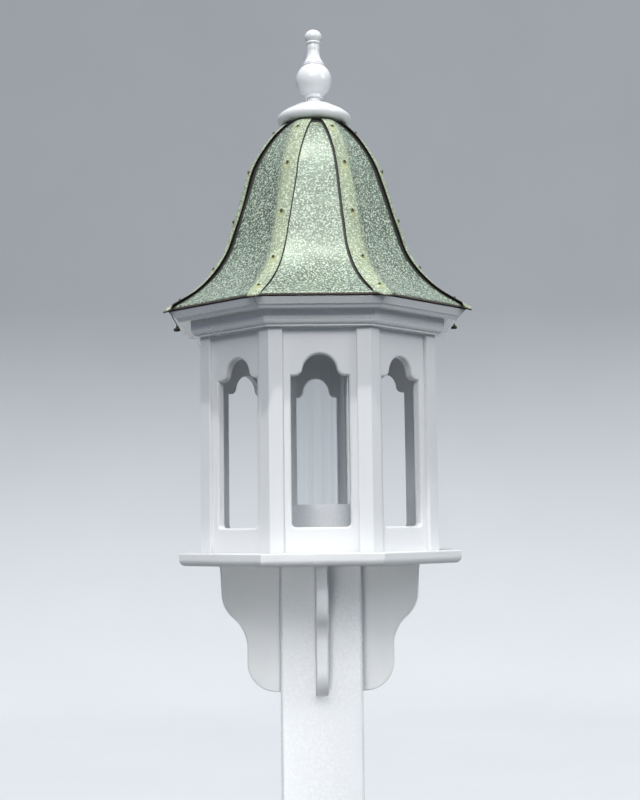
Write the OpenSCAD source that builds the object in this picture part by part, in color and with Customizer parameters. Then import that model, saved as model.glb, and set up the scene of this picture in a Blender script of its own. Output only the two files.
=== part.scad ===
// Octagonal gazebo bird feeder with a bell-curved copper roof, on a square post with four scroll brackets.
// Millimetres, +Z up. The origin is on the ground at the middle of the post's foot. The front faces -Y.
// The post is cut off level with the ground: its buried length isn't part of the model.

/* [Post] */
// Height of the tray's top face above the ground
tray_top = 1500; // [1200:10:1800]
// Outside width of the square post sleeve
post_w = 127; // [124:1:130]
// Wall thickness of the post sleeve
post_wall = 4; // [3:0.5:6]
// Outside corner radius of the post sleeve
post_corner = 5; // [3:0.5:8]
// Width of the square timber core
core_w = 89; // [80:1:95]
// Thickness of the block that joins the sleeve to the tray
block_t = 38; // [25:1:50]

/* [Brackets] */
// Thickness of a scroll bracket
bracket_t = 19; // [16:1:22]
// Radius of the bracket's upper lobe
lobe_r = 53; // [48:1:56]
// Radius of the hollow between the lobes
hollow_r = 60; // [54:1:62]
// Angle that the upper lobe and the hollow turn through
lobe_turn = 50; // [45:1:52]
// Radius of the bracket's lower lobe
foot_r = 46; // [42:1:48]

/* [Tray] */
// Tray width across flats
tray_af = 434; // [424:1:444]
// Thickness of the tray's boards
tray_t = 19; // [16:1:22]
// Width of the mitred edge boards
edge_w = 62; // [58:1:66]
// Radius of the rounding under the tray's edge
edge_r = 10; // [6:0.5:12]

/* [Body] */
// Body width across flats, over the corner battens
body_af = 368; // [364:1:370]
// Height of the body's walls above the tray
body_h = 374; // [372:1:376]
// Thickness of the wall panels
panel_t = 13; // [11:0.5:15]
// Thickness of the corner battens
batten_t = 6.5; // [5:0.5:8]
// Width of each leaf of a corner batten
batten_leaf = 21; // [18:0.5:24]

/* [Openings] */
// Half of an opening's width
jamb_x = 43.5; // [42:0.5:45]
// Height of the sill above the tray
sill_h = 38; // [30:1:50]
// Height of the shoulders above the tray
shoulder_h = 263; // [240:1:268]
// Radius of the arch's crown
arch_r = 26; // [25.8:0.1:26.6]
// Radius of the reverse curve from the crown to the shoulder
reverse_r = 12.4; // [12.3:0.1:13]
// Half of the distance between the centres of the reverse curves
reverse_x = 38; // [36:0.5:38]
// Radius of the opening's lower corners
sill_r = 6; // [4:0.5:10]

/* [Crown moulding] */
// Height of the moulding's underside above the tray
crown_z = 335; // [332:1:337]
// Reach of the moulding's top edge from the axis
crown_reach = 229.5; // [227:0.5:231]

/* [Roof] */
// Reach of the roof's outline at the eave, which only the hips' ears have in full
eave_reach = 239.5; // [238:0.5:240]
// Reach of the sheets' trimmed edge between the ears
trim_reach = 232; // [231:0.5:234]
// Width of the ear that each sheet keeps beside a hip
ear_w = 10; // [8:1:13]
// Height of the eave above the tray, at the ears
eave_h = 374; // [373:0.5:375]
// Slope of the roof at the eave, in degrees
eave_slope = 35; // [34:0.5:36]
// Length of the straight stretch at the eave
eave_run = 34; // [31:1:37]
// Steepest slope of the roof, in degrees
steep_slope = 74; // [73:0.5:75]
// Radius of the hollow sweep above the eave
sweep_r = 190; // [187:1:193]
// Length of the steep straight stretch
steep_run = 100; // [97:1:103]
// Radius of the roof's shoulder
shoulder_r = 217; // [213:1:221]
// Thickness of the copper sheet
sheet_t = 1; // [0.7:0.1:1.2]
// Gap between a lapping flange and the sheet under it
lap_gap = 1.5; // [1:0.1:2]
// How far a flange laps past the hip
lap_w = 15; // [12:0.5:18]
// Height of the turned-down drip edge
drip_h = 3; // [2:0.5:4]

/* [Seed tube] */
// Outside radius of the clear tube
tube_r = 50.8; // [48:0.1:51]
// Wall of the clear tube
tube_wall = 3; // [2:0.5:4]
// Height of the collar around the tube's foot
collar_h = 73.5; // [68:0.5:78]
// Wall of the collar
collar_wall = 3.2; // [3:0.1:4]
// Height of the arched seed ports in the collar
port_h = 26; // [22:1:30]

/* [Finial cap] */
// Radius of the cap's round disk
disk_r = 60.5; // [58:0.5:62]
// Height of the disk's underside above the tray
disk_z = 697; // [696:0.5:699]
// Radius of the fill hole in the roof's hub
fill_r = 36; // [34:0.5:37]
// Radial clearance of the cap's plug in the fill hole
plug_gap = 0.5; // [0.3:0.1:1]

/* [Hidden] */
FACES = ["front", "front_right", "right", "back_right", "back", "back_left", "left", "front_left"];
CORNERS = ["front_r", "right_f", "right_b", "back_r", "back_l", "left_b", "left_f", "front_l"];
SIDES = [0, 2, 4, 6]; // the faces that are square to the post

HALF = 22.5; // half of the angle of one side of the octagon
FAR = 500; // longer than anything that it cuts
MITRE = 0.2; // open joint between mitred pieces
WHITE = [0.93, 0.93, 0.92];
COPPER = [0.62, 0.72, 0.62];
DARK = [0.16, 0.15, 0.14];
TIMBER = [0.72, 0.58, 0.40];
CLEAR = [0.85, 0.90, 0.92, 0.35];

tray_a = tray_af / 2;
body_a = body_af / 2;
panel_a = body_a - batten_t;
wall_in = panel_a - panel_t;
batten_h = crown_z;
block_w = post_w - 2 * post_wall - 1;
tray_under = -tray_t; // height of the tray's underside, from its top face

ceiling_t = 12;
ceiling_a = 217.5;
ceiling_top = body_h + 0.5 + ceiling_t;
tube_gap = 0.5;

hub_r = 52;
hub_z = [664, 683];
rib_t = 19;
rib_depth = 24;
rib_drop = 4.8; // a square-edged rib has to lie this far under the hip
shoulder_gap_r = fill_r + 8;
plug_len = 14;
front_sheet_top = 687;
sheet_top = 692;

screw_head_r = 3.3;
screw_head_h = 2.2;
roof_screw_h = [392, 445, 524, 607, 676];
ridge_rise = 1.1 * (lap_gap + sheet_t) + 0.2; // from the hip up to the flange's ridge, with a little room

// ---------- curves ----------
function arc(c, r, a0, a1, n = 8) =
    [for (k = [0 : n]) let (a = a0 + (a1 - a0) * k / n) [c[0] + r * cos(a), c[1] + r * sin(a)]];

// The roof's outline as [reach, height, slope]: a straight eave, a hollow sweep, a steep run and a shoulder.
top_slope = 35;
sweep_start = [eave_reach - eave_run * cos(eave_slope), eave_h + eave_run * sin(eave_slope)];
sweep_end = sweep_start + sweep_r * [sin(eave_slope) - sin(steep_slope), cos(eave_slope) - cos(steep_slope)];
steep_end = sweep_end + steep_run * [-cos(steep_slope), sin(steep_slope)];
bell = concat(
    [[eave_reach, eave_h, eave_slope]],
    [for (k = [0 : 10]) let (s = eave_slope + (steep_slope - eave_slope) * k / 10)
        [sweep_start[0] + sweep_r * (sin(eave_slope) - sin(s)),
         sweep_start[1] + sweep_r * (cos(eave_slope) - cos(s)), s]],
    [for (k = [0 : 12]) let (s = steep_slope + (top_slope - steep_slope) * k / 12)
        [steep_end[0] + shoulder_r * (sin(s) - sin(steep_slope)),
         steep_end[1] + shoulder_r * (cos(s) - cos(steep_slope)), s]]);
// The same outline moved out by d, square to itself
function bell_at(d) = [for (p = bell) [p[0] + d * sin(p[2]), p[1] + d * cos(p[2])]];
function bell_band(d0, d1) = concat(bell_at(d0), [for (k = [len(bell) - 1 : -1 : 0]) bell_at(d1)[k]]);
function bell_reach(h) = lookup(h, [for (p = bell) [p[1], p[0]]]);
function bell_slope(h) = lookup(h, [for (p = bell) [p[1], p[2]]]);

// ---------- placing ----------
// +X becomes the outward direction of side i, or of the corner after it
module on_face(i) rotate([0, 0, -90 + 45 * i]) children();
module on_corner(i) rotate([0, 0, -90 + 45 * i + HALF]) children();
module on_tray() translate([0, 0, tray_top]) children();
// The wedge of one side between its two hips, less half of an open joint on each
module wedge(gap = MITRE) {
    translate([gap / 2 / sin(HALF), 0, -FAR])
        linear_extrude(height = 4 * FAR)
            polygon([[0, 0], [FAR, -FAR * tan(HALF)], [FAR, FAR * tan(HALF)]]);
}
// Draws a section of reach and height along one side, as long as needed
module along(length = FAR) rotate([90, 0, 0]) linear_extrude(height = length, center = true) children();
module mitred(gap = MITRE) intersection() {
    wedge(gap);
    along() children();
}
module octagon(a) rotate([0, 0, HALF]) circle(r = a / cos(HALF), $fn = 8);

// ---------- post ----------
module rounded_square(w, r) {
    square([w - 2 * r, w], center = true);
    square([w, w - 2 * r], center = true);
    for (x = [-1, 1], y = [-1, 1]) translate([x, y] * (w / 2 - r)) circle(r = r, $fn = 32);
}
module post_core() color(TIMBER)
    linear_extrude(height = tray_top + tray_under - block_t)
        difference() {
            square(core_w, center = true);
            for (a = [0 : 90 : 270]) rotate([0, 0, a]) translate([core_w, core_w] / 2)
                rotate([0, 0, 45]) square([8, 4], center = true);
        }
module post_sleeve() color(WHITE)
    linear_extrude(height = tray_top + tray_under)
        difference() {
            rounded_square(post_w, post_corner);
            rounded_square(post_w - 2 * post_wall, post_corner - post_wall / 2);
        }
module mount_block() color(TIMBER)
    on_tray() translate([0, 0, tray_under - block_t])
        linear_extrude(height = block_t) rounded_square(block_w, post_corner);

// ---------- brackets ----------
upper_c = [40, -45];
hollow_c = upper_c + (lobe_r + hollow_r) * [cos(lobe_turn), -sin(lobe_turn)];
foot_c = [hollow_c[0] - hollow_r - foot_r, -155];
top_cove_r = 9;
bracket_reach = upper_c[0] + lobe_r + 2 + top_cove_r;
bracket_h = foot_r - foot_c[1];
module bracket_outline() polygon(concat(
    [[0, 0]],
    arc([bracket_reach, -top_cove_r], top_cove_r, 90, 180, 6),
    arc(upper_c, lobe_r, 0, -lobe_turn, 10),
    arc(hollow_c, hollow_r, 180 - lobe_turn, 180, 10),
    arc(foot_c, foot_r, 0, -90, 14),
    [[0, -bracket_h]]));
module bracket(i) color(WHITE)
    on_face(i) translate([post_w / 2 + 0.1, 0, tray_top + tray_under])
        along(bracket_t) bracket_outline();

// ---------- tray ----------
module tray_floor() color(WHITE)
    on_tray() translate([0, 0, tray_under])
        linear_extrude(height = tray_t) octagon(tray_a - edge_w - 0.1);
module edge_section() difference() {
    translate([tray_a - edge_w, tray_under]) square([edge_w, tray_t]);
    translate([tray_a - edge_r, tray_under]) difference() {
        translate([0, -1]) square([edge_r + 1, edge_r + 1]);
        translate([0, edge_r]) circle(r = edge_r, $fn = 48);
    }
}
module tray_edge(i) color(WHITE) on_tray() on_face(i) mitred() edge_section();

// ---------- body ----------
module arch_opening() {
    arch_c = shoulder_h + reverse_r - sqrt(pow(arch_r + reverse_r, 2) - pow(reverse_x, 2));
    touch = arch_r / (arch_r + reverse_r);
    touch_p = [reverse_x * touch, arch_c + (shoulder_h + reverse_r - arch_c) * touch];
    translate([-jamb_x, sill_h + sill_r]) square([2 * jamb_x, shoulder_h - sill_h - sill_r]);
    translate([sill_r - jamb_x, sill_h]) square([2 * (jamb_x - sill_r), sill_r + 1]);
    for (s = [-1, 1]) translate([s * (jamb_x - sill_r), sill_h + sill_r]) circle(r = sill_r, $fn = 32);
    translate([0, arch_c]) circle(r = arch_r, $fn = 96);
    difference() {
        polygon([[-reverse_x, shoulder_h - 1], [reverse_x, shoulder_h - 1], [reverse_x, shoulder_h],
                 touch_p, [-touch_p[0], touch_p[1]], [-reverse_x, shoulder_h]]);
        for (s = [-1, 1]) translate([s * reverse_x, shoulder_h + reverse_r]) circle(r = reverse_r, $fn = 64);
    }
}
module side_panel(i) color(WHITE) on_tray() on_face(i) difference() {
    intersection() {
        wedge();
        translate([wall_in, -FAR / 2, 0]) cube([panel_t, FAR, body_h]);
    }
    translate([wall_in - 1, 0, 0]) rotate([90, 0, 90])
        linear_extrude(height = panel_t + 2) arch_opening();
}
module corner_batten(i) color(WHITE) on_tray() on_corner(i)
    linear_extrude(height = batten_h) {
        tip = [body_a / cos(HALF), 0];
        leaf = [for (s = [-1, 1]) batten_leaf * [-sin(HALF), s * cos(HALF)]];
        inward = [for (s = [-1, 1]) batten_t * [-cos(HALF), -s * sin(HALF)]];
        polygon([tip, tip + leaf[1], tip + leaf[1] + inward[1],
                 tip - [batten_t / cos(HALF), 0], tip + leaf[0] + inward[0], tip + leaf[0]]);
    }

// ---------- crown moulding ----------
bead_r = 1.6;
module crown_section() {
    back = panel_a + 0.1;
    ovolo_r = 8;
    polygon(concat(
        [[back, crown_z + 0.1]],
        arc([190, crown_z + bead_r + 0.1], bead_r, -90, 70, 6),
        arc([189.6, crown_z + 11], ovolo_r, -76, 0, 6),
        [[198.4, crown_z + 11.3], [198.6, crown_z + 26]],
        [[211.5, crown_z + 23]],
        arc([214.5, crown_z + 27], 4, -90, -20, 5),
        arc([222.6, crown_z + 24.4], 4.4, 160, 100, 4),
        [[222.4, crown_z + 28.8], [223.2, crown_z + 29.6]],
        [[crown_reach, body_h], [back, body_h]]));
}
module crown(i) color(WHITE) on_tray() on_face(i) mitred() crown_section();

// ---------- roof ----------
module ceiling_board() color(WHITE) on_tray() translate([0, 0, ceiling_top - ceiling_t])
    linear_extrude(height = ceiling_t) difference() {
        octagon(ceiling_a);
        circle(r = tube_r + tube_gap, $fn = 96);
    }
module rib_outline() intersection() {
    polygon(concat(
        [for (p = bell_at(-sheet_t)) [p[0] / cos(HALF) - rib_drop, p[1]]],
        [for (k = [len(bell) - 1 : -1 : 0]) let (p = bell_at(-rib_depth)[k]) [p[0] / cos(HALF) - rib_drop, p[1]]]));
    translate([hub_r + 0.2, ceiling_top + 0.1]) square([FAR, hub_z[1] - ceiling_top - 0.1]);
}
module roof_ribs() color(TIMBER) on_tray()
    for (i = [0 : 7]) on_corner(i) along(rib_t) rib_outline();
module roof_hub() color(TIMBER) on_tray() translate([0, 0, hub_z[0]])
    difference() {
        cylinder(r = hub_r, h = hub_z[1] - hub_z[0], $fn = 96);
        translate([0, 0, -1]) cylinder(r = fill_r, h = hub_z[1] - hub_z[0] + 2, $fn = 96);
    }
// A band of the roof's outline between two offsets, cut off level at the top
module bell_section(d0, d1, top) intersection() {
    polygon(bell_band(d0, d1));
    translate([0, eave_h - 20]) square([FAR, top - eave_h + 20]);
}
// What is trimmed off a sheet's edge between its two ears
ear_start = trim_reach * tan(HALF) - ear_w;
module edge_trim() translate([0, 0, eave_h - 20]) linear_extrude(height = 50)
    polygon([[trim_reach, -ear_start], [FAR, -ear_start - (FAR - trim_reach)],
             [FAR, ear_start + (FAR - trim_reach)], [trim_reach, ear_start]]);
module roof_sheet(top) {
    difference() {
        mitred(0.1) {
            bell_section(-sheet_t, 0, top);
            translate([eave_reach - sheet_t, eave_h - drip_h]) square([sheet_t, drip_h]);
        }
        edge_trim();
    }
    lip_low = body_h + 1.5;
    lip_high = eave_h + (eave_reach - trim_reach) * tan(eave_slope) - 0.3;
    along(2 * ear_start) translate([trim_reach - sheet_t, lip_low]) square([sheet_t, lip_high - lip_low]);
}
// A flange of the sheet on side owner, lapping past corner k onto side under
module lap_flange(owner, under, k, top) {
    s = under == k ? -1 : 1;
    intersection() {
        on_face(under) difference() {
            along() bell_section(lap_gap, lap_gap + sheet_t, top);
            edge_trim();
        }
        on_corner(k) translate([0, s * (lap_w / 2 - 0.2), eave_h])
            cube([2 * FAR, lap_w + 0.4, 2 * FAR], center = true);
        on_corner(k) translate([0, -FAR / 2, 0]) cube([FAR, FAR, 2 * FAR]);
    }
    intersection() {
        on_face(owner) along() bell_section(-sheet_t, lap_gap + sheet_t, top);
        on_corner(k) translate([0, -s * 0.9, eave_h]) cube([2 * FAR, 1.7, 2 * FAR], center = true);
        on_corner(k) translate([0, -FAR / 2, 0]) cube([FAR, FAR, 2 * FAR]);
    }
}
module roof_panel(i) color(COPPER) on_tray() {
    top = i == 0 ? front_sheet_top : sheet_top;
    on_face(i) roof_sheet(top);
    if (i >= 1 && i <= 4) lap_flange(i, i - 1, i - 1, top);
    if (i >= 4) lap_flange(i, (i + 1) % 8, i, top);
}

// ---------- seed tube ----------
ledge_h = 30;
module seed_tube() color(CLEAR) on_tray() translate([0, 0, ledge_h + 0.1]) difference() {
    cylinder(r = tube_r, h = hub_z[0] - ledge_h - 0.3, $fn = 96);
    translate([0, 0, -1]) cylinder(r = tube_r - tube_wall, h = FAR * 2, $fn = 96);
}
module tube_collar() color(WHITE) on_tray() difference() {
    cylinder(r = tube_r + 0.2 + collar_wall, h = collar_h, $fn = 96);
    translate([0, 0, -1]) cylinder(r = tube_r - tube_wall - 0.5, h = collar_h + 2, $fn = 96);
    translate([0, 0, ledge_h]) cylinder(r = tube_r + 0.2, h = collar_h, $fn = 96);
    for (a = [0 : 90 : 270]) rotate([90, 0, a + 45]) {
        translate([-13, -1, 0]) cube([26, port_h - 12, FAR]);
        translate([0, port_h - 13, 0]) cylinder(r = 13, h = FAR, $fn = 48);
    }
}
module seed_cone() color(WHITE) on_tray() cylinder(r1 = tube_r - tube_wall - 2, r2 = 3, h = 22, $fn = 96);

// ---------- finial cap ----------
module cap_disk() color(WHITE) on_tray() translate([0, 0, disk_z]) rotate_extrude($fn = 96)
    polygon(concat(
        [[0, 0], [disk_r - 13, 0]],
        arc([disk_r - 10, 10], 10, -80, 35, 9),
        [[disk_r - 3.4, 16.8], [disk_r - 4.2, 17.8]],
        arc([disk_r - 27, -5], 32, 44, 68, 6),
        arc([26, 52], 21, -72, -108, 6),
        arc([17.8, 44], 7, -110, -165, 4),
        [[11, 46], [0, 46]]));
module cap_finial() color(WHITE) on_tray() translate([0, 0, disk_z]) rotate_extrude($fn = 96)
    polygon(concat(
        [[0, 46.1], [14.4, 46.1]],
        arc([0, 77], 29.5, -60, 46, 14),
        [[17.6, 99.5], [17.4, 101.2], [18.3, 102.2], [17.6, 104]],
        arc([40.5, 125], 30.2, 222, 168, 9),
        [[10.4, 137.5]],
        arc([9.6, 140.4], 2.7, -80, 80, 6),
        [[10.6, 143.4]],
        [for (a = [-48 : 12 : 84]) [14.3 * cos(a), 151 + 12.3 * sin(a)]],
        [[0, 163.3]]));
module cap_plug() color(DARK) on_tray() {
    plug_r = fill_r - plug_gap;
    translate([0, 0, hub_z[1] - plug_len]) cylinder(r = plug_r, h = plug_len + 0.2, $fn = 96);
    translate([0, 0, hub_z[1] + 0.1]) cylinder(r = shoulder_gap_r, h = disk_z - hub_z[1] - 0.2, $fn = 96);
}

// ---------- fasteners ----------
module washer_head() {
    cylinder(r = screw_head_r, h = 0.8, $fn = 32);
    translate([0, 0, 0.8]) cylinder(r = screw_head_r * 0.72, h = screw_head_h - 0.8, $fn = 6);
}
module roof_screws() color(DARK) on_tray()
    for (k = [0 : 7], h = roof_screw_h) {
        hip_slope = atan(tan(bell_slope(h)) * cos(HALF));
        on_corner(k) translate([bell_reach(h) / cos(HALF), 0, h]) rotate([0, hip_slope, 0])
            translate([0, 0, ridge_rise]) washer_head();
    }
module tray_screws() color([0.75, 0.75, 0.74])
    for (a = [0 : 90 : 270]) rotate([0, 0, a + 45])
        on_tray() translate([72, 0, 0.05]) cylinder(r = 4.5, h = 1.4, $fn = 32);

post_core();
post_sleeve();
mount_block();
for (i = SIDES) bracket(i);
tray_floor();
for (i = [0 : 7]) tray_edge(i);
for (i = [0 : 7]) side_panel(i);
for (i = [0 : 7]) corner_batten(i);
for (i = [0 : 7]) crown(i);
ceiling_board();
roof_ribs();
roof_hub();
for (i = [0 : 7]) roof_panel(i);
seed_tube();
tube_collar();
seed_cone();
cap_disk();
cap_finial();
cap_plug();
roof_screws();
tray_screws();
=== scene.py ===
import math

import bmesh
import bpy
from mathutils import Matrix, Vector, noise


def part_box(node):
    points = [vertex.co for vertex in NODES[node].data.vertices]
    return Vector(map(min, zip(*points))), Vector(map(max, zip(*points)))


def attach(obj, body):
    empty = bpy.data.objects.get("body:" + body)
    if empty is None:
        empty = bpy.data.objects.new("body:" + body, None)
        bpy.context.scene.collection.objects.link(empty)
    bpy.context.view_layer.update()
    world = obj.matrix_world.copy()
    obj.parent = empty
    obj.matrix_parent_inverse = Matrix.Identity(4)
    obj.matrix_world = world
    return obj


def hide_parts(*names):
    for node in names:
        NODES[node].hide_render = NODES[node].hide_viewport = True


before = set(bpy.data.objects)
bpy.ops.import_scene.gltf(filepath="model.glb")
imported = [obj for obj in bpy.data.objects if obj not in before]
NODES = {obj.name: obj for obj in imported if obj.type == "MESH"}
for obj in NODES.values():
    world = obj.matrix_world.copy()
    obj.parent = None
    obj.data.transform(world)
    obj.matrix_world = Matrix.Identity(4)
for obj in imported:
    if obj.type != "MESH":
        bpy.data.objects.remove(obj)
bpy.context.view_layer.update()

# Meshes are drawn in millimetres and built in metres. Heights are measured from the tray's top face,
# except the post's. A piece of one side of the octagon is drawn with +X outwards, then turned into place.
MM = 0.001
TRAY_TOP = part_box("tray_floor")[1].z
FACES = ("front", "front_right", "right", "back_right", "back", "back_left", "left", "front_left")
CORNERS = ("front_r", "right_f", "right_b", "back_r", "back_l", "left_b", "left_f", "front_l")
SQUARE_FACES = (0, 2, 4, 6)
HALF = math.radians(22.5)
TAN = math.tan(HALF)
COS = math.cos(HALF)
MITRE = 0.2  # open joint between mitred pieces


def face_turn(i):
    return math.radians(45 * i - 90)


def corner_turn(k):
    return face_turn(k) + HALF


# ---------- outlines ----------
def arc(x, y, r, start, end, steps):
    """Points of an arc, angles in degrees."""
    turns = (math.radians(start + (end - start) * k / steps) for k in range(steps + 1))
    return [(x + r * math.cos(a), y + r * math.sin(a)) for a in turns]


def offset(outline, distance):
    """A closed anticlockwise outline moved inwards by distance, with its corners mitred."""
    moved = []
    for i, (x, y) in enumerate(outline):
        (px, py), (qx, qy) = outline[i - 1], outline[(i + 1) % len(outline)]
        a, b = Vector((py - y, x - px)).normalized(), Vector((y - qy, qx - x)).normalized()
        step = (a + b) * (distance / max(1 + a.dot(b), 0.4))
        moved.append((x + step.x, y + step.y))
    return moved


def fillet(corners, steps=4):
    """A closed outline from (x, y, radius) corners."""
    outline = []
    for i, (x, y, r) in enumerate(corners):
        here = Vector((x, y))
        back = (Vector(corners[i - 1][:2]) - here).normalized()
        on = (Vector(corners[(i + 1) % len(corners)][:2]) - here).normalized()
        if r <= 0:
            outline.append((x, y))
            continue
        half = back.angle(on) / 2
        centre = here + (back + on).normalized() * (r / math.sin(half))
        first = (here + back * (r / math.tan(half))) - centre
        last = (here + on * (r / math.tan(half))) - centre
        sweep = first.angle_signed(last)
        for k in range(steps + 1):
            p = centre + Matrix.Rotation(-sweep * k / steps, 2) @ first
            outline.append((p.x, p.y))
    return outline


def levels(outline, low, high, ease, steps=3):
    """An outline drawn out from low to high with both ends' edges rounded over: [(outline, level)]."""
    quarter = [
        (ease * (1 - math.sin(k * math.pi / 2 / steps)), ease * (1 - math.cos(k * math.pi / 2 / steps)))
        for k in range(steps + 1)
    ]
    return [(offset(outline, o), low + d) for o, d in quarter] + [
        (offset(outline, o), high - d) for o, d in reversed(quarter)
    ]


# ---------- meshes ----------
def skin(rings, caps=True):
    """Faces between rings of equally many points, as (points, faces)."""
    n = len(rings[0])
    points = [p for ring in rings for p in ring]
    faces = [
        (j * n + i, j * n + (i + 1) % n, (j + 1) * n + (i + 1) % n, (j + 1) * n + i)
        for j in range(len(rings) - 1)
        for i in range(n)
    ]
    if caps:
        faces += [tuple(range(n)), tuple(range((len(rings) - 1) * n, len(rings) * n))]
    return points, faces


def upright(outline, low, high, ease):
    return skin([[(x, y, z) for x, y in ring] for ring, z in levels(outline, low, high, ease)])


def lathe(profile, sides=128):
    rings = [
        [
            (r * math.cos(math.tau * k / sides), r * math.sin(math.tau * k / sides), z)
            for k in range(sides)
        ]
        for r, z in profile
    ]
    return skin(rings, caps=False)


def mitred(section, ease):
    """A section of (reach, height) along one side of the octagon, mitred at both ends."""
    rings = []
    for ring, inset in levels(section, 0, 1000, ease):
        side = -1 if inset < 500 else 1
        back = inset if side < 0 else 1000 - inset
        rings.append([(u, side * (u * TAN - MITRE / 2 / COS - back), z) for u, z in ring])
    return skin(rings)


def joined(parts):
    points, faces = [], []
    for more, ids in parts:
        faces += [tuple(i + len(points) for i in face) for face in ids]
        points += more
    return points, faces


def placed(part, matrix):
    return [tuple(matrix @ Vector(p)) for p in part[0]], part[1]


def piece(
    name, part, materials, stands_for, body="feeder", turn=0.0, base=TRAY_TOP, sharp=32, tags=None
):
    """Builds one visible piece, gives it its materials and hides the CAD nodes that it stands for."""
    points, faces = part
    c, s = math.cos(turn), math.sin(turn)
    mesh = bpy.data.meshes.new(name)
    mesh.from_pydata(
        [((x * c - y * s) * MM, (x * s + y * c) * MM, base + z * MM) for x, y, z in points], [], faces
    )
    for tag, values in (tags or {}).items():
        mesh.attributes.new(tag, "FLOAT", "POINT").data.foreach_set("value", values)
    bm = bmesh.new()
    bm.from_mesh(mesh)
    bmesh.ops.remove_doubles(bm, verts=bm.verts, dist=2e-6)
    bmesh.ops.recalc_face_normals(bm, faces=bm.faces)
    if all(e.is_manifold for e in bm.edges) and bm.calc_volume(signed=True) < 0:
        bmesh.ops.reverse_faces(bm, faces=bm.faces)
    bm.to_mesh(mesh)
    bm.free()
    mesh.polygons.foreach_set("use_smooth", [True] * len(mesh.polygons))
    mesh.set_sharp_from_angle(angle=math.radians(sharp))
    for material in materials:
        mesh.materials.append(material)
    obj = bpy.data.objects.new(name, mesh)
    bpy.context.scene.collection.objects.link(obj)
    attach(obj, body)
    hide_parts(*stands_for)
    return obj


def weight_normals(obj):
    """Keeps wide flat faces flat beside their rounded edges."""
    obj.modifiers.new("flat faces", "WEIGHTED_NORMAL").keep_sharp = True
    return obj


# ---------- materials ----------
class Look:
    """A procedural material: textures in the object's own coordinates, feeding one Principled shader."""

    def __init__(self, name, **constants):
        self.material = bpy.data.materials.new(name)
        self.material.use_nodes = True
        self.tree = self.material.node_tree
        self.shader = self.tree.nodes["Principled BSDF"]
        self.where = self.node("ShaderNodeTexCoord").outputs["Object"]
        for socket, value in constants.items():
            self.shader.inputs[socket.replace("_", " ")].default_value = value

    def node(self, kind, inputs=(), **settings):
        made = self.tree.nodes.new(kind)
        for key, value in settings.items():
            setattr(made, key, value)
        for key, value in dict(inputs).items():
            self.feed(made.inputs[key], value)
        return made

    def feed(self, socket, value):
        if isinstance(value, bpy.types.NodeSocket):
            self.tree.links.new(value, socket)
        else:
            socket.default_value = value

    def stretched(self, scale):
        return self.node("ShaderNodeMapping", {"Vector": self.where, "Scale": scale}).outputs["Vector"]

    def noise(self, scale, detail=2.0, roughness=0.5, vector=None, distortion=0.0):
        return self.node(
            "ShaderNodeTexNoise",
            {
                "Vector": vector or self.where,
                "Scale": scale,
                "Detail": detail,
                "Roughness": roughness,
                "Distortion": distortion,
            },
        ).outputs["Fac"]

    def span(self, value, low, high, to_low=0.0, to_high=1.0, kind="SMOOTHSTEP"):
        inputs = {"Value": value, 1: low, 2: high, 3: to_low, 4: to_high}
        return self.node("ShaderNodeMapRange", inputs, interpolation_type=kind).outputs["Result"]

    def math(self, operation, a, b=0.0):
        return self.node("ShaderNodeMath", {0: a, 1: b}, operation=operation).outputs["Value"]

    def mix(self, share, a, b):
        made = self.node("ShaderNodeMix", data_type="RGBA")
        for socket, value in ((0, share), (6, a), (7, b)):
            self.feed(made.inputs[socket], value)
        return made.outputs[2]

    def tag(self, name):
        return self.node("ShaderNodeAttribute", attribute_name=name).outputs["Fac"]

    def hollows(self, reach):
        """1 in the open and less in corners and joints."""
        return self.node("ShaderNodeAmbientOcclusion", {"Distance": reach}, samples=6).outputs["AO"]

    def bump(self, height, distance, strength=1.0, below=None):
        inputs = {"Height": height, "Distance": distance, "Strength": strength}
        if below is not None:
            inputs["Normal"] = below
        return self.node("ShaderNodeBump", inputs).outputs["Normal"]

    def finish(self, color=None, roughness=None, normal=None, metallic=None):
        for socket, value in (
            ("Base Color", color), ("Roughness", roughness), ("Normal", normal), ("Metallic", metallic),
        ):
            if value is not None:
                self.feed(self.shader.inputs[socket], value)
        return self.material


def rgb(r, g, b):
    return (r, g, b, 1.0)


def white_plastic(name, tint, gloss, grain, ripple, grime_and_shadow):
    """White PVC: faint clouding, a trace of dirt with painted shade in the corners and joints, and a fine
    grain in the surface.
    """
    look = Look(name, IOR=1.48)
    cloud = look.noise(9.0, 4.0, 0.55)
    rain = look.noise(1.0, 4.0, 0.6, look.stretched((55.0, 55.0, 3.5)))
    base = look.mix(look.span(cloud, 0.3, 0.7), rgb(*tint), rgb(*(c * 0.975 for c in tint)))
    base = look.mix(look.span(rain, 0.50, 0.80, 0.0, grime_and_shadow), base, rgb(0.62, 0.64, 0.60))
    # Painted shade: ambient occlusion darkens the corners and joints, its strength varied by the clouding.
    joints = look.span(look.hollows(0.010), 0.2, 0.8, 0.34, 0.0)
    dirt_and_shade = look.math("MULTIPLY", joints, look.span(cloud, 0.2, 0.8, 0.6, 1.0))
    base = look.mix(dirt_and_shade, base, rgb(0.50, 0.51, 0.49))
    skin_noise = look.noise(1.0, 3.0, 0.6, look.stretched(grain))
    wear = look.math("ADD", cloud, look.noise(240.0, 2.0))
    rough = look.span(wear, 0.6, 1.4, gloss - 0.05, gloss + 0.07, "LINEAR")
    waves = look.bump(look.noise(14.0, 1.0), 0.0012, ripple)
    return look.finish(base, rough, look.bump(skin_noise, 0.00006, 0.6, waves))


# The turned white is a lit copy of the vinyl white: its extra brightness is painted light on the cap.
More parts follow.
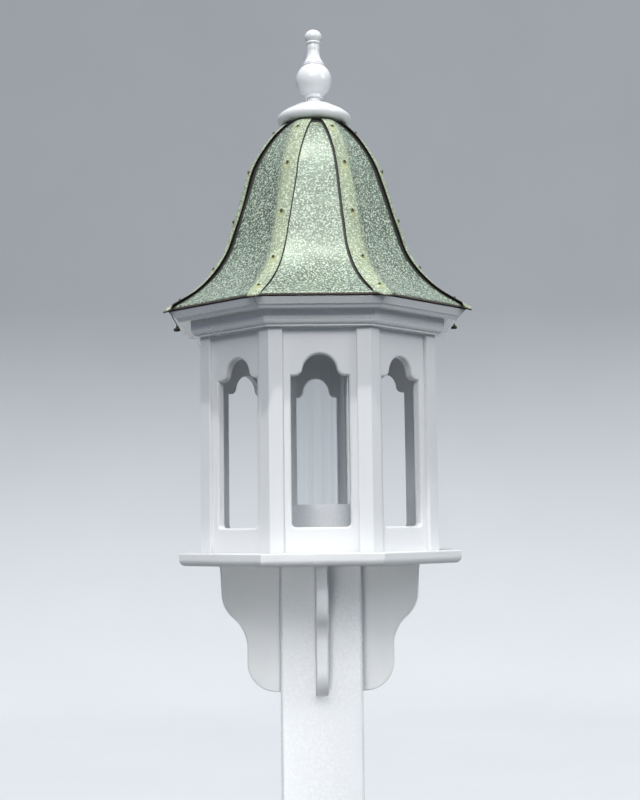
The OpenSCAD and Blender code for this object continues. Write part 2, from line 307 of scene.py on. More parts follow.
BOARD_TINT, VINYL_TINT, TURNED_LIT_TINT = (0.77, 0.775, 0.78), (0.82, 0.828, 0.838), (0.88, 0.885, 0.89)
board_white = white_plastic("board_white", BOARD_TINT, 0.36, (700.0, 700.0, 260.0), 0.10, 0.06)
vinyl_white = white_plastic("vinyl_white", VINYL_TINT, 0.26, (420.0, 420.0, 9.0), 0.14, 0.07)
moulding_white = white_plastic("moulding_white", VINYL_TINT, 0.24, (380.0, 380.0, 380.0), 0.12, 0.10)
turned_white = white_plastic("turned_white", TURNED_LIT_TINT, 0.20, (60.0, 60.0, 900.0), 0.08, 0.05)


def patina(name):
    """Green copper: pale flecks on a darker ground, yellower laps, brown at the eave, and painted shadow,
    near-black, beside the laps' edges in the seams.
    """
    look = Look(name, IOR=1.75)
    flecks = look.span(look.noise(345.0, 3.0, 0.55, distortion=0.3), 0.50, 0.58, 0.08, 0.90)
    fine = look.span(look.noise(620.0, 2.0, 0.6), 0.53, 0.62)
    patches = look.noise(26.0, 3.0, 0.55)
    runs = look.noise(1.0, 3.0, 0.6, look.stretched((42.0, 42.0, 7.0)))
    ground = look.mix(look.span(patches, 0.32, 0.70), rgb(0.046, 0.076, 0.051), rgb(0.125, 0.172, 0.124))
    ground = look.mix(look.math("MULTIPLY", fine, 0.45), ground, rgb(0.30, 0.35, 0.27))
    bloom = look.mix(look.span(patches, 0.35, 0.68), rgb(0.61, 0.70, 0.55), rgb(0.56, 0.67, 0.54))
    color = look.mix(flecks, ground, bloom)
    lap = look.span(look.tag("lap"), 0.0, 1.0)
    pale = look.mix(flecks, rgb(0.30, 0.355, 0.215), rgb(0.59, 0.66, 0.47))
    color = look.mix(look.math("MULTIPLY", lap, look.span(runs, 0.30, 0.66, 0.35, 0.85)), color, pale)
    color = look.mix(look.span(runs, 0.56, 0.76, 0.0, 0.22), color, rgb(0.42, 0.47, 0.28))
    crease = look.span(look.tag("crease"), 0.0, 1.0, 0.0, 0.30)
    color = look.mix(crease, color, rgb(0.46, 0.50, 0.27))
    stain = look.span(look.math("ADD", look.tag("stain"), look.math("MULTIPLY", runs, 0.25)), 0.40, 1.0)
    color = look.mix(look.math("MULTIPLY", stain, 0.7), color, rgb(0.42, 0.42, 0.14))
    ragged = look.math("ADD", look.tag("eave"), look.math("MULTIPLY", look.noise(150.0), 2.4))
    bare = look.span(ragged, 0.3, -0.9)
    brown = look.mix(look.noise(90.0), rgb(0.055, 0.036, 0.025), rgb(0.15, 0.095, 0.065))
    color = look.mix(bare, color, brown)
    # Painted shadow: near-black beside the free edges of the laps, where the raised flanges throw their
    # shade.
    grime_and_shadow = look.span(look.math("ADD", look.tag("seam"), look.math("MULTIPLY", fine, 0.25)), 0.8, 1.35)
    color = look.mix(grime_and_shadow, color, rgb(0.018, 0.021, 0.016))
    crusted = look.math("MAXIMUM", flecks, look.math("MAXIMUM", lap, grime_and_shadow))
    metal = look.span(crusted, 0.0, 1.0, 0.35, 0.03)
    matt = look.math("MULTIPLY", look.math("MAXIMUM", lap, grime_and_shadow), 0.74)
    rough = look.math("MAXIMUM", look.span(flecks, 0.0, 1.0, 0.36, 0.48), matt)
    dents = look.bump(look.noise(24.0, 1.0), 0.0022, 0.35)
    crust = look.bump(look.math("ADD", flecks, look.math("MULTIPLY", fine, 0.4)), 0.00022, 0.55, dents)
    return look.finish(color, rough, crust, metal)


def raw_copper():
    """The sheets' cut edges and undersides: dull brown copper, darkened nearly to black as painted shade for
    the gaps under the laps.
    """
    look = Look("bare_copper_and_shade", Metallic=0.35)
    spread = look.span(look.noise(46.0, 4.0), 0.3, 0.7)
    tone = look.mix(spread, rgb(0.016, 0.013, 0.010), rgb(0.062, 0.040, 0.028))
    rough = look.span(look.noise(120.0), 0.3, 0.7, 0.5, 0.7)
    return look.finish(tone, rough, look.bump(look.noise(300.0), 0.0001, 0.4))


def clear_acrylic():
    """The seed tube: clear extruded acrylic with drawn lines along it and a little haze."""
    look = Look("tube_clear", Transmission_Weight=1.0, IOR=1.49)
    lines = look.noise(1.0, 3.0, 0.6, look.stretched((150.0, 150.0, 2.2)))
    haze = look.noise(30.0, 3.0)
    tint = look.mix(look.span(lines, 0.35, 0.7), rgb(0.955, 0.965, 0.97), rgb(0.90, 0.92, 0.93))
    return look.finish(tint, look.span(haze, 0.35, 0.75, 0.02, 0.09), look.bump(lines, 0.00004, 0.4))


def timber():
    """Plain sawn softwood with its growth rings and fibres."""
    look = Look("timber", IOR=1.45)
    rings = look.node(
        "ShaderNodeTexWave",
        {
            "Vector": look.stretched((1.0, 1.0, 0.12)),
            "Scale": 26.0,
            "Distortion": 7.0,
            "Detail": 3.0,
            "Detail Scale": 2.0,
        },
        wave_type="RINGS", rings_direction="Z",
    ).outputs["Fac"]
    fibres = look.noise(1.0, 3.0, 0.65, look.stretched((620.0, 620.0, 16.0)))
    tone = look.mix(rings, rgb(0.46, 0.31, 0.17), rgb(0.62, 0.46, 0.28))
    tone = look.mix(look.span(fibres, 0.35, 0.75, 0.0, 0.5), tone, rgb(0.30, 0.19, 0.10))
    return look.finish(tone, look.span(fibres, 0.2, 0.8, 0.62, 0.82), look.bump(fibres, 0.0002, 0.6))


# The cap's plug: near-black with a little dust, as painted shade in the recess under the disc.
def shade_black_plastic():
    look = Look("plug_painted_shade", IOR=1.5)
    dust = look.noise(70.0, 4.0, 0.6)
    tone = look.mix(look.span(dust, 0.4, 0.8), rgb(0.018, 0.019, 0.018), rgb(0.055, 0.058, 0.054))
    rough = look.span(dust, 0.3, 0.8, 0.42, 0.66)
    return look.finish(tone, rough, look.bump(look.noise(900.0), 0.00005, 0.5))


def screw_metal(name, clean, rust, share, shine, washer=None):
    """Weathered steel; a washer's colour shows where the piece is tagged as one."""
    look = Look(name)
    spread = look.span(look.noise(420.0, 3.0, 0.6), share, share + 0.22)
    tone = look.mix(spread, rgb(*clean), rgb(*rust))
    metal = look.span(spread, 0.0, 1.0, 0.95, 0.1)
    if washer:
        tone = look.mix(look.tag("washer"), tone, rgb(*washer))
        metal = look.math("MULTIPLY", metal, look.span(look.tag("washer"), 0.0, 1.0, 1.0, 0.0))
    rough = look.span(spread, 0.0, 1.0, shine, 0.8)
    return look.finish(tone, rough, look.bump(look.noise(1400.0), 0.00008, 0.6), metal)


copper = patina("copper_patina")
bare_copper_and_shade = raw_copper()
acrylic = clear_acrylic()
wood = timber()
plug_painted_shade = shade_black_plastic()
WASHER_TINT = (0.23, 0.25, 0.10)
rusty = screw_metal("screw_rusty", (0.07, 0.06, 0.035), (0.045, 0.032, 0.016), 0.36, 0.5, WASHER_TINT)
zinc = screw_metal("screw_zinc", (0.62, 0.63, 0.64), (0.34, 0.30, 0.26), 0.62, 0.30)


# ---------- post and brackets ----------
POST_W, POST_WALL, POST_CORNER = 127.0, 4.0, 5.0
sleeve_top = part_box("post_sleeve")[1].z / MM


def square_outline(width, radius):
    h = width / 2
    return fillet([(h, -h, radius), (h, h, radius), (-h, h, radius), (-h, -h, radius)], 8)


def post_sleeve():
    outer = levels(square_outline(POST_W, POST_CORNER), 0, sleeve_top, 0.5, 2)
    inner = square_outline(POST_W - 2 * POST_WALL, POST_CORNER - POST_WALL / 2)
    rings = [[(x, y, z) for x, y in ring] for ring, z in outer]
    rings += [[(x, y, z) for x, y in inner] for z in (sleeve_top, 0)]
    rings.append(rings[0])
    return skin(rings, caps=False)


weight_normals(
    piece("post", post_sleeve(), [vinyl_white], ["post_sleeve"], base=0.0)
)

BRACKET_T = 19.0
LOBE, FOOT = (40.0, -45.0, 53.0), (6.6, -155.0, 46.0)  # the centre and radius of the two bulges
HOLLOW = 60.0
HOLLOW_TURN = 50  # degrees below level at which the upper bulge gives way to the hollow
hollow_x = LOBE[0] + (LOBE[2] + HOLLOW) * math.cos(math.radians(HOLLOW_TURN))
hollow_y = LOBE[1] - (LOBE[2] + HOLLOW) * math.sin(math.radians(HOLLOW_TURN))
TOP_COVE = 9.0
ROLLED = 2.8  # rounding of the bracket's sawn edges
bracket_outline = (
    [(0, 0), (0, FOOT[1] - FOOT[2])]
    + arc(*FOOT, -90, 0, 28)
    + arc(hollow_x, hollow_y, HOLLOW, 180, 180 - HOLLOW_TURN, 18)[1:]
    + arc(*LOBE, -HOLLOW_TURN, 0, 18)[1:]
    + arc(LOBE[0] + LOBE[2] + 2 + TOP_COVE, -TOP_COVE, TOP_COVE, 180, 90, 8)
)
bracket_rings = levels(bracket_outline, -BRACKET_T / 2, BRACKET_T / 2, ROLLED, 5)
scroll = skin([[(x + POST_W / 2 + 0.1, y, z) for x, z in ring] for ring, y in bracket_rings])
for i in SQUARE_FACES:
    weight_normals(
        piece(
            f"scroll_{FACES[i]}", scroll, [board_white], [f"bracket_{FACES[i]}"],
            turn=face_turn(i), base=sleeve_top * MM,
        )
    )

# ---------- tray ----------
TRAY_A, TRAY_T, EDGE_W, EDGE_R = 217.0, 19.0, 62.0, 10.0
tray_section = fillet(
    [
        (TRAY_A - EDGE_W, -TRAY_T, 0.8), (TRAY_A, -TRAY_T, EDGE_R),
        (TRAY_A, 0, 1.6), (TRAY_A - EDGE_W, 0, 0.8),
    ],
    8,
)
for i in range(8):
    weight_normals(
        piece(
            f"tray_board_{FACES[i]}", mitred(tray_section, 0.5), [board_white],
            [f"tray_edge_{FACES[i]}"], turn=face_turn(i),
        )
    )


def octagon(apothem):
    return [
        (apothem / COS * math.cos(HALF + k * 2 * HALF), apothem / COS * math.sin(HALF + k * 2 * HALF))
        for k in range(8)
    ]


tray_centre = upright(octagon(TRAY_A - EDGE_W - 0.1), -TRAY_T, 0, 0.6)
weight_normals(piece("tray_centre", tray_centre, [board_white], ["tray_floor"]))

# ---------- walls ----------
BODY_A, BATTEN_T, PANEL_T, BODY_H = 184.0, 6.5, 13.0, 374.0
PANEL_A = BODY_A - BATTEN_T
WALL_IN = PANEL_A - PANEL_T
JAMB_X, SILL_H, SILL_R, SHOULDER_H = 43.5, 38.0, 6.0, 263.0
ARCH_R, REVERSE_R, REVERSE_X = 26.0, 12.4, 38.0
ROUND_OVER, INNER_EASE = 3.6, 1.4

arch_drop = math.sqrt((ARCH_R + REVERSE_R) ** 2 - REVERSE_X**2)
touch = math.degrees(math.asin(arch_drop / (ARCH_R + REVERSE_R)))
arch_z = SHOULDER_H + REVERSE_R - arch_drop
opening = (
    arc(JAMB_X - SILL_R, SILL_H + SILL_R, SILL_R, -90, 0, 6)
    + [(JAMB_X, SHOULDER_H)]
    + arc(REVERSE_X, SHOULDER_H + REVERSE_R, REVERSE_R, -90, -180 + touch, 12)
    + arc(0, arch_z, ARCH_R, touch, 180 - touch, 36)[1:]
    + arc(-REVERSE_X, SHOULDER_H + REVERSE_R, REVERSE_R, -touch, -90, 12)[1:]
    + [(-JAMB_X, SHOULDER_H)]
    + arc(SILL_R - JAMB_X, SILL_H + SILL_R, SILL_R, 180, 270, 6)
)


def wall_panel():
    """One wall with its arched opening, whose outer edge is rounded over."""
    quarter = [math.pi / 2 * k / 5 for k in range(6)]
    rings = [
        (PANEL_A - ROUND_OVER * (1 - math.cos(a)), offset(opening, -ROUND_OVER * (1 - math.sin(a))))
        for a in quarter
    ] + [
        (WALL_IN + INNER_EASE * (1 - math.cos(a)), offset(opening, -INNER_EASE * (1 - math.sin(a))))
        for a in reversed(quarter)
    ]
    bm = bmesh.new()
    rows = [[bm.verts.new((u, y, z)) for y, z in ring] for u, ring in rings]
    for row, following in zip(rows, rows[1:]):
        for k in range(len(row)):
            bm.faces.new((row[k - 1], row[k], following[k], following[k - 1]))
    frames = []
    for u in (PANEL_A, WALL_IN):
        y = u * TAN - MITRE / 2 / COS
        frames.append([bm.verts.new((u, *p)) for p in ((-y, 0), (y, 0), (y, BODY_H), (-y, BODY_H))])
    for row, border in ((rows[0], frames[0]), (rows[-1], frames[1])):
        edges = [bm.edges.get((row[k - 1], row[k])) for k in range(len(row))]
        edges += [bm.edges.new((border[k - 1], border[k])) for k in range(4)]
        bmesh.ops.triangle_fill(bm, use_beauty=True, edges=edges)
    for k in range(4):
        bm.faces.new((frames[0][k - 1], frames[0][k], frames[1][k], frames[1][k - 1]))
    bm.verts.index_update()
    part = [tuple(v.co) for v in bm.verts], [tuple(v.index for v in f.verts) for f in bm.faces]
    bm.free()
    return part


for i in range(8):
    weight_normals(
        piece(
            f"wall_{FACES[i]}", wall_panel(), [board_white], [f"side_panel_{FACES[i]}"],
            turn=face_turn(i),
        )
    )

BATTEN_LEAF, BATTEN_H = 21.0, 335.0


def batten_outline():
    """The V of a corner batten from above, its two leaves folded over the corner of the walls."""
    tip = Vector((BODY_A / COS, 0))
    ends = [tip + BATTEN_LEAF * Vector((-math.sin(HALF), s * COS)) for s in (-1, 1)]
    inner = [p + BATTEN_T * Vector((-COS, -s * math.sin(HALF))) for p, s in zip(ends, (-1, 1))]
    heel = Vector((tip.x - BATTEN_T / COS, 0))
    return fillet(
        [(*tip, 1.6), (*ends[1], 1.3), (*inner[1], 0), (*heel, 0), (*inner[0], 0), (*ends[0], 1.3)], 4
    )


batten = upright(batten_outline(), 0, BATTEN_H, 0.5)
for k in range(8):
    weight_normals(
        piece(
            f"batten_{CORNERS[k]}", batten, [board_white], [f"corner_batten_{CORNERS[k]}"],
            turn=corner_turn(k),
        )
    )

# ---------- crown moulding ----------
CROWN_Z, CROWN_REACH = 335.0, 229.5
crown_section = (
    [(PANEL_A + 0.1, BODY_H), (PANEL_A + 0.1, CROWN_Z + 0.1)]
    + arc(190, CROWN_Z + 1.7, 1.6, -90, 70, 8)
    + arc(189.6, CROWN_Z + 11, 8, -76, 0, 12)
    + [(198.2, CROWN_Z + 11.05), (198.4, CROWN_Z + 11.3), (198.55, CROWN_Z + 25.7), (198.9, CROWN_Z + 26)]
    + [(211.5, CROWN_Z + 23)]
    + arc(214.5, CROWN_Z + 27, 4, -90, -20, 8)
    + arc(222.6, CROWN_Z + 24.4, 4.4, 160, 100, 6)
    + [(222.2, CROWN_Z + 28.8), (222.9, CROWN_Z + 29.0), (223.3, CROWN_Z + 29.6)]
    + [(CROWN_REACH - 0.5, BODY_H - 0.8), (CROWN_REACH - 0.6, BODY_H - 0.2), (CROWN_REACH - 1.2, BODY_H)]
)
for i in range(8):
    weight_normals(
        piece(
            f"cornice_{FACES[i]}", mitred(crown_section, 0.35), [moulding_white],
            [f"crown_{FACES[i]}"], turn=face_turn(i), sharp=40,
        )
    )

# ---------- copper roof ----------
EAVE_REACH, EAVE_H, EAVE_SLOPE, EAVE_RUN = 239.5, 374.0, math.radians(35.0), 34.0
STEEP_SLOPE, SWEEP_R, STEEP_RUN = math.radians(74.0), 190.0, 100.0
TOP_SLOPE, SHOULDER_R = math.radians(35.0), 217.0
DRIP, LAP_RISE, BEND = 2.6, 2.5, 9.0
TRIM = 7.5 / math.cos(EAVE_SLOPE)  # how far the sheets' edge is set back between the hips, along the slope
EAR_IN, EAR_OUT = 6.5, 14.0  # from a hip, where its ear starts to give way to the trimmed edge and ends
SHEET_T = 1.0
SHEET_TOP, FRONT_TOP = 692.0, 687.0
COLUMNS = 16  # across half of a sheet
NO_EAVE, NO_SEAM = 99.0, -9.0  # far from the eave's edge, and from a seam
SCREW_HEIGHTS = (392.0, 445.0, 524.0, 607.0, 676.0)


def bell():
    """The roof's outline from the top of the eave's straight run as (reach, height, slope)."""
    x = EAVE_REACH - EAVE_RUN * math.cos(EAVE_SLOPE)
    z = EAVE_H + EAVE_RUN * math.sin(EAVE_SLOPE)
    rows = []
    for start, end, radius, steps, run in (
        (EAVE_SLOPE, STEEP_SLOPE, SWEEP_R, 34, STEEP_RUN), (STEEP_SLOPE, TOP_SLOPE, -SHOULDER_R, 40, 0.0),
    ):
        for k in range(steps + 1):
            slope = start + (end - start) * k / steps
            dx, dz = math.sin(start) - math.sin(slope), math.cos(start) - math.cos(slope)
            rows.append((x + radius * dx, z + radius * dz, slope))
        x, z, _ = rows[-1]
        for k in range(1, 18 if run else 0):
            rows.append((x - run * k / 18 * math.cos(end), z + run * k / 18 * math.sin(end), end))
        x, z = x - run * math.cos(end), z + run * math.sin(end)
    return rows


BELL = bell()


def bell_rows(top):
    """The outline cut off level at top, below it the eave's run, and below that the turned-down drip edge.

    A row is (reach, height, slope, way down the eave's run, drop of the drip edge)."""
    kept = [row for row in BELL if row[1] < top - 0.5]
    after = BELL[len(kept)]
    share = (top - kept[-1][1]) / (after[1] - kept[-1][1])
    last = tuple(a + (b - a) * share for a, b in zip(kept[-1], after))
    run = [(EAVE_REACH, EAVE_H, math.pi / 2, EAVE_RUN, drop) for drop in (DRIP, 0.7)]
    for k in range(10):
        back = EAVE_RUN * k / 10
        run.append((
            EAVE_REACH - back * math.cos(EAVE_SLOPE), EAVE_H + back * math.sin(EAVE_SLOPE), EAVE_SLOPE,
            EAVE_RUN - back, 0.0,
        ))
    return run + [(*row, 0.0, 0.0) for row in [*kept, last]]


def trimmed(row, q):
    """A row's (reach, height, slope, way up from the drip edge's fold) at the distance q from a hip."""
    reach, height, slope, down, drop = row
    if down == 0:
        return reach, height, slope, NO_EAVE
    back = TRIM * smooth((abs(q) - EAR_IN) / (EAR_OUT - EAR_IN))
    shift = down * back / EAVE_RUN
    low = drop * (1 + 0.45 * back / TRIM)
    up = EAVE_RUN - back - (down - shift) - low
    return reach - shift * math.cos(EAVE_SLOPE), height + shift * math.sin(EAVE_SLOPE) - low, slope, up


def at_height(h):
    """The outline's (reach, slope) at height h."""
    outline = [(EAVE_REACH, EAVE_H, EAVE_SLOPE), *BELL]
    for a, b in zip(outline, outline[1:]):
        if a[1] <= h <= b[1]:
            share = (h - a[1]) / (b[1] - a[1])
            return a[0] + (b[0] - a[0]) * share, a[2] + (b[2] - a[2]) * share


def smooth(t):
    t = min(max(t, 0.0), 1.0)
    return t * t * (3 - 2 * t)


def wobble(x, y, z, scale):
    """Smooth repeatable noise, about -0.5 to 0.5."""
    return noise.noise(Vector((x, y, z)) / scale)


def lap_width(k, h):
    """How far the flange on corner k laps past the hip at height h: cut by hand, so never quite even."""
    climb = (h - EAVE_H) / (SHEET_TOP - EAVE_H)
    if k == 0:
        width = 19.2 - 7.6 * smooth(climb)
    elif k == 7:
        width = 12.6 + 3.6 * smooth((climb - 0.3) / 0.4)
    else:
        width = 14.6 + 1.6 * wobble(k * 7.3, 0.0, h, 130.0)
    return width + 0.7 * wobble(k * 3.1, 5.0, h, 34.0)


def free_rise(k, h):
    """How far the flange's free edge on corner k stands up off the sheet under it, beyond its own rise."""
    most = {0: 2.6, 7: 0.5, 1: 4.0, 6: 4.2}.get(k, 1.6)
    return most * (0.8 + 0.8 * wobble(k * 5.7, 3.0, h, 60.0))


def seam_share(k, h, inward):
    """2 at the edge of the flange lapped over from corner k, and 1 where the painted shadow beside it ends.
    """
    width = {0: 2.3, 7: 0.8, 1: 3.6, 6: 3.6}.get(k, 1.4)
    return max(NO_SEAM, 2 - (inward - lap_width(k, h)) / width)


def turned(x, y, angle):
    return x * math.cos(angle) - y * math.sin(angle), x * math.sin(angle) + y * math.cos(angle)


def half_row(i, side, corner, laps, row):
    """Points from the middle of sheet i to its edge on one side (+1 or -1) at one level of the outline.

    A point is (place, share of lap, share of crease, distance past the hip, way up from the drip edge's
    fold, share of painted shadow in the seam)."""
    edge = row[0] * TAN - 0.1

    def on_own(across, rise):
        reach, height, slope, up = trimmed(row, across - edge)
        return (reach + rise * math.sin(slope), side * across, height + rise * math.cos(slope)), up

    def past_hip(q, rise):
        reach, height, slope, up = trimmed(row, q)
        r = reach + rise * math.sin(slope)
        x, y = turned(r, side * -(r * TAN - q), side * 2 * HALF)
        return (x, y, height + rise * math.cos(slope)), up

    out = []
    height = row[1]
    flat_to = edge - BEND if laps else edge
    for k in range(COLUMNS + 1):
        across = flat_to * (1 - (1 - k / COLUMNS) ** 1.5)
        dent = 0.9 * wobble(i * 31.7 + side * across, height, 4.0, 70.0) * smooth((edge - across) / 14.0)
        dent *= smooth((height - EAVE_H) / 30.0) * smooth((SHEET_TOP - height) / 20.0)
        lift = LAP_RISE * smooth((across - (edge - 3.2 * BEND)) / (2.2 * BEND)) if laps else 0.0
        place, up = on_own(across, dent + lift)
        near = max(0.0, 1 - (edge - across) / 22.0) if laps else 0.0
        crease = smooth(1 - abs(edge - BEND - across) / 3.5) if laps else 0.0
        seam = NO_SEAM if laps else seam_share(corner, height, edge - across)
        out.append((place, near, crease, across - edge, up, seam))
    if not laps:
        return out
    top = row[0] + LAP_RISE * math.sin(row[2])
    a = Vector(on_own(edge - BEND, LAP_RISE)[0])
    hip = Vector(on_own(top * TAN, LAP_RISE)[0])
    b = Vector(past_hip(BEND, LAP_RISE)[0])
    for k in range(1, 9):
        t = k / 8
        p = a * (1 - t) ** 2 + hip * (2 * t * (1 - t)) + b * t * t
        q = -BEND + 2 * BEND * t
        out.append((tuple(p), 1.0, smooth(1 - t * BEND * 2 / 3.5), q, trimmed(row, q)[3], NO_SEAM))
    width = lap_width(corner, height)
    for k in range(1, 6):
        q = BEND + (max(width, BEND + 1.0) - BEND) * k / 5
        curl = (0.5 * wobble(corner * 9.1, 2.0, height, 55.0) + free_rise(corner, height)) * (k / 5) ** 2
        place, up = past_hip(q, LAP_RISE + curl)
        out.append((place, 1.0, 0.0, q, up, NO_SEAM))
    return out


def laps_over(i, corner):
    """Whether sheet i carries the flange on that corner: the sheets lap from the back towards the front."""
    return corner == i - 1 if i in (1, 2, 3) else corner == i if i > 4 else i == 4


def sheet_part(i):
    """Sheet i as (points, faces), and its tags for the patina."""
    rows = bell_rows(FRONT_TOP if i == 0 else SHEET_TOP)
    right, left = i, (i - 1) % 8
    points, lap, crease, eave, seam, stain = [], [], [], [], [], []
    width = 0
    for row in rows:
        whole = [
            *reversed(half_row(i, -1, left, laps_over(i, left), row)[1:]),
            *half_row(i, 1, right, laps_over(i, right), row),
        ]
        width = len(whole)
        for p, on_lap, on_crease, q, up, in_seam in whole:
            points.append(p)
            lap.append(on_lap)
            crease.append(on_crease)
            eave.append(up)
            seam.append(in_seam)
            spot = 0.0
            for h in SCREW_HEIGHTS:
                below = h - row[1]
                run = smooth(1 - below / 26.0) if below > 0 else smooth(1 + below / 7.0)
                spot = max(spot, run * smooth(1 - abs(q) / 6.5))
            stain.append(spot if on_lap >= 1.0 else 0.0)
    faces = [
        (j * width + c, j * width + c + 1, (j + 1) * width + c + 1, (j + 1) * width + c)
        for j in range(len(rows) - 1)
        for c in range(width - 1)
    ]
    return (points, faces), {"lap": lap, "crease": crease, "eave": eave, "seam": seam, "stain": stain}


for i in range(8):
    part, tags = sheet_part(i)
    sheet = piece(
        f"roof_sheet_{FACES[i]}", part, [copper, bare_copper_and_shade], [f"roof_panel_{FACES[i]}"],
        turn=face_turn(i), sharp=60, tags=tags,
    )
    outward = Vector((math.cos(face_turn(i)), math.sin(face_turn(i)), 0.0))
    if sum(p.normal.dot(outward) for p in sheet.data.polygons) < 0:
        sheet.data.flip_normals()
    shell = sheet.modifiers.new("sheet thickness", "SOLIDIFY")
    shell.thickness = SHEET_T * MM
    shell.offset = -1.0
    shell.use_even_offset = True
    shell.material_offset = 1
    shell.material_offset_rim = 1

# ---------- screws ----------
HEAD_R, HEAD_H = 3.3, 2.2


def hex_head():
    """A hexagon washer-head roofing screw on its rubber washer, standing on z = 0."""
    washer = lathe(
        [(0, 0), (HEAD_R, 0), (HEAD_R, 0.45), (HEAD_R - 0.35, 0.8), (HEAD_R * 0.74, 0.95), (0, 0.95)], 24
    )
    r = HEAD_R * 0.62
    flats = [(r * math.cos(math.tau * k / 6), r * math.sin(math.tau * k / 6)) for k in range(6)]
    return washer, upright(flats, 0.9, HEAD_H, 0.25)


def pan_head(r, h):
    """A pan head with a square recess."""
    rounds = [(r, 0), (r, 0.35 * h), (0.86 * r, 0.78 * h), (0.55 * r, h)]
    sides = 24
    turns = [math.tau * (k + 0.5) / sides for k in range(sides)]
    rings = [[(rr * math.cos(a), rr * math.sin(a), z) for a in turns] for rr, z in [(0.02, 0)] + rounds]
    square = []
    for a in turns:
        reach = 0.26 * r / max(abs(math.cos(a)), abs(math.sin(a)))
        square.append((reach * math.cos(a), reach * math.sin(a)))
    rings += [[(x, y, z) for x, y in square] for z in (h, 0.3 * h)]
    return skin(rings)


def ridge_screws():
    """All the roof's screws, and for each point whether it is on a washer."""
    parts, on_washer = [], []
    for k in range(8):
        for n, h in enumerate(SCREW_HEIGHTS):
            reach, slope = at_height(h)
            hip_slope = math.atan(math.tan(slope) * COS)
            out = Vector((math.sin(hip_slope), 0, math.cos(hip_slope)))
            at = Vector((reach / COS, 0, h)) + out * 1.2
            spin = Matrix.Rotation(math.radians(17.0 * (3 * k + 5 * n)), 4, "Z")
            place = Matrix.Rotation(corner_turn(k), 4, "Z") @ Matrix.Translation(at)
            for part, share in zip(hex_head(), (1.0, 0.0)):
                parts.append(placed(part, place @ Matrix.Rotation(hip_slope, 4, "Y") @ spin))
                on_washer += [share] * len(part[0])
    return joined(parts), {"washer": on_washer}


screws, screw_tags = ridge_screws()
piece("roof_screw_heads", screws, [rusty], ["roof_screws"], sharp=40, tags=screw_tags)

TRAY_SCREW_AT = Matrix.Translation((72, 0, 0.05))
tray_heads = joined(
    [
        placed(pan_head(4.5, 1.4), Matrix.Rotation(corner_turn(2 * k) + HALF, 4, "Z") @ TRAY_SCREW_AT)
        for k in range(4)
    ]
)
piece("tray_screw_heads", tray_heads, [zinc], ["tray_screws"], sharp=40)

# ---------- seed tube ----------
TUBE_R, TUBE_WALL, TUBE_LOW = 50.8, 3.0, 30.1
tube_top = (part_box("seed_tube")[1].z - TRAY_TOP) / MM
tube_profile = fillet(
    [
        (TUBE_R - TUBE_WALL, TUBE_LOW, 0.4), (TUBE_R, TUBE_LOW, 0.4), (TUBE_R, tube_top, 0.4),
        (TUBE_R - TUBE_WALL, tube_top, 0.4),
    ],
    2,
)
tube = lathe(tube_profile + tube_profile[:1], 144)
piece("clear_tube", tube, [acrylic], ["seed_tube"], sharp=15)

# ---------- finial cap ----------
DISK_R = 60.5
KNOB_R, KNOB_RISE, KNOB_H = 14.3, 12.3, 151  # the knob's half width, half height and middle
cap_base = (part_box("cap_disk")[0].z - TRAY_TOP) / MM
disk_profile = (
    [(0, 0), (DISK_R - 13, 0)]
    + arc(DISK_R - 10, 10, 10, -80, 35, 18)
    + [(DISK_R - 3.4, 16.8), (DISK_R - 4.2, 17.8)]
    + arc(DISK_R - 27, -5, 32, 44, 68, 12)
    + arc(26, 52, 21, -72, -108, 10)
    + arc(17.8, 44, 7, -110, -165, 8)
    + [(11, 46), (0, 46)]
)
finial_profile = (
    [(0, 46.1), (14.4, 46.1)]
    + arc(0, 77, 29.5, -60, 46, 36)
    + [(17.9, 99.2), (17.4, 100.0), (17.35, 100.9), (17.7, 101.5), (18.25, 102.0), (18.2, 102.8)]
    + [(17.6, 104)]
    + arc(40.5, 125, 30.2, 222, 168, 24)
    + [(10.4, 137.5)]
    + arc(9.6, 140.4, 2.7, -80, 80, 12)
    + [(10.6, 143.4)]
    + [(KNOB_R * x, KNOB_H + KNOB_RISE * z) for x, z in arc(0, 0, 1, -48, 88, 34)]
    + [(0, 163.3)]
)
for name, profile, node in (("disk", disk_profile, "cap_disk"), ("finial", finial_profile, "cap_finial")):
    part = lathe([(r, z + cap_base) for r, z in profile], 144)
    piece(f"turned_{name}", part, [turned_white], [node], body="cap", sharp=38)

# ---------- CAD nodes that stay ----------
for node, material in (
    ("post_core", wood), ("mount_block", wood), ("roof_ribs", wood), ("roof_hub", wood),
    ("ceiling_board", board_white), ("tube_collar", vinyl_white), ("seed_cone", vinyl_white),
    ("cap_plug", plug_painted_shade),
):
    NODES[node].data.materials.clear()
    NODES[node].data.materials.append(material)

# ---------- floor, light and camera ----------
def studio():
    """A pale round floor in metres that sweeps up into a wall."""
    profile = [(0, 0), (2, 0), (5, 0), (9, 0)] + arc(9, 4, 4, -90, 0, 16) + [(13, 9.5)]
    points, faces = lathe(profile, 96)
    mesh = bpy.data.meshes.new("studio_floor")
    mesh.from_pydata(points, [], faces)
    bm = bmesh.new()
    bm.from_mesh(mesh)
    bmesh.ops.remove_doubles(bm, verts=bm.verts, dist=1e-6)
    bmesh.ops.recalc_face_normals(bm, faces=bm.faces)
    bmesh.ops.reverse_faces(bm, faces=bm.faces)
    bm.to_mesh(mesh)
    bm.free()
    mesh.polygons.foreach_set("use_smooth", [True] * len(mesh.polygons))
    look = Look("studio_grey")
    tone = look.mix(look.noise(0.7, 3.0), rgb(0.70, 0.71, 0.72), rgb(0.75, 0.76, 0.77))
    mesh.materials.append(look.finish(tone, look.span(look.noise(3.0), 0.3, 0.7, 0.8, 0.9)))
    obj = bpy.data.objects.new("studio_floor", mesh)
    bpy.context.scene.collection.objects.link(obj)
    obj.visible_diffuse = False  # the pale floor throws no light up onto the object
    obj.visible_shadow = False


studio()


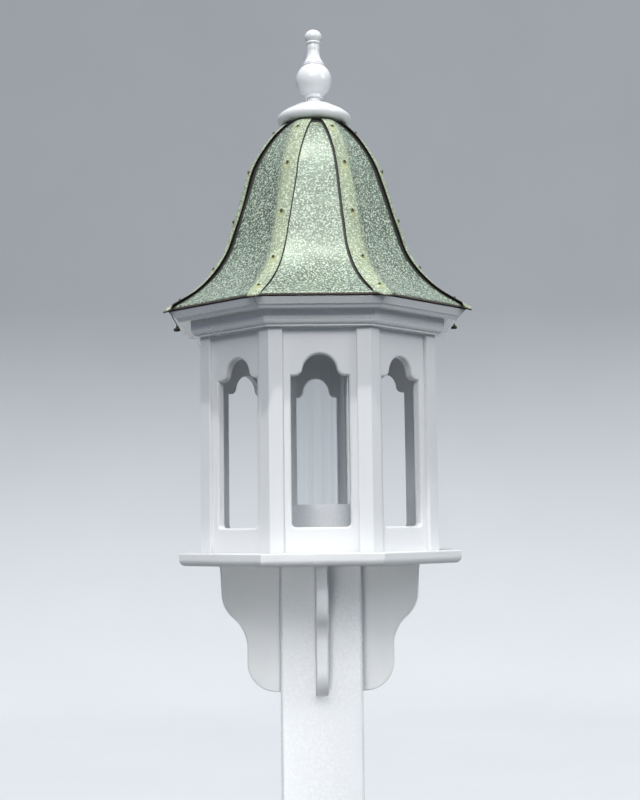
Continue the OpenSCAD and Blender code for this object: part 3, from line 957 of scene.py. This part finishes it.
def area_light(name, place, aim, size, power, color, spread=180):
    data = bpy.data.lights.new(name, "AREA")
    data.spread = math.radians(spread)
    data.shape = "RECTANGLE"
    data.size, data.size_y = size
    data.energy = power
    data.color = color
    obj = bpy.data.objects.new(name, data)
    obj.location = place
    obj.rotation_mode = "QUATERNION"
    obj.rotation_quaternion = (Vector(aim) - Vector(place)).to_track_quat("-Z", "Y")
    bpy.context.scene.collection.objects.link(obj)


middle = (0.0, 0.0, TRAY_TOP + 0.35)
POST_FILL_SPREAD = 24
area_light("softbox_front", (-0.5, -4.3, 4.6), middle, (3.6, 2.2), 132, (1.0, 0.995, 0.98))
area_light("softbox_right", (4.2, -2.2, 3.6), middle, (2.0, 2.0), 66, (0.99, 1.0, 1.0))
area_light(
    "post_fill", (-0.4, -2.6, 0.75), (0.0, 0.0, 1.18), (0.5, 0.5), 0.5, (1.0, 0.995, 0.98), POST_FILL_SPREAD
)
sun = bpy.data.lights.new("key", "SUN")
sun.energy = 1.75
sun.angle = math.radians(1.6)
sun.color = (1.0, 0.985, 0.955)
key = bpy.data.objects.new("key", sun)
key.rotation_mode = "QUATERNION"
key.rotation_quaternion = Vector((0.10, 0.34, -0.93)).to_track_quat("-Z", "Y")
bpy.context.scene.collection.objects.link(key)

SKY = (  # the sine of the height above the horizon, and the light from there
    (-1.0, (0.075, 0.085, 0.080)), (-0.10, (0.085, 0.105, 0.13)), (0.06, (0.13, 0.165, 0.22)),
    (0.30, (0.25, 0.30, 0.38)), (0.65, (0.48, 0.53, 0.60)), (1.0, (0.80, 0.83, 0.88)),
)
world = bpy.data.worlds.new("studio_sky")
bpy.context.scene.world = world
world.use_nodes = True
tree = world.node_tree
direction = tree.nodes.new("ShaderNodeTexCoord").outputs["Generated"]
height = tree.nodes.new("ShaderNodeSeparateXYZ")
share = tree.nodes.new("ShaderNodeMapRange")
ramp = tree.nodes.new("ShaderNodeValToRGB")
share.inputs["From Min"].default_value = -1.0
tree.links.new(direction, height.inputs[0])
tree.links.new(height.outputs["Z"], share.inputs["Value"])
tree.links.new(share.outputs["Result"], ramp.inputs["Fac"])
tree.links.new(ramp.outputs["Color"], tree.nodes["Background"].inputs["Color"])
stops = ramp.color_ramp.elements
for k, (sine, color) in enumerate(SKY):
    stop = stops[k] if k < 1 else (stops[-1] if k == len(SKY) - 1 else stops.new(0.5 + sine / 2))
    stop.position = 0.5 + sine / 2
    stop.color = (*color, 1.0)

lens = bpy.data.cameras.new("camera")
lens.lens, lens.sensor_width = 60.75, 36.0
camera = bpy.data.objects.new("camera", lens)
camera.matrix_world = (
    Matrix.Translation((-0.0436, -2.1743, TRAY_TOP + 0.0351))
    @ Matrix.Rotation(math.radians(-1.25), 4, "Z")
    @ Matrix.Rotation(math.radians(90 + 5.46), 4, "X")
    @ Matrix.Rotation(math.radians(-0.72), 4, "Z")
)
bpy.context.scene.collection.objects.link(camera)
bpy.context.scene.camera = camera
bpy.context.scene.view_settings.view_transform = "Standard"
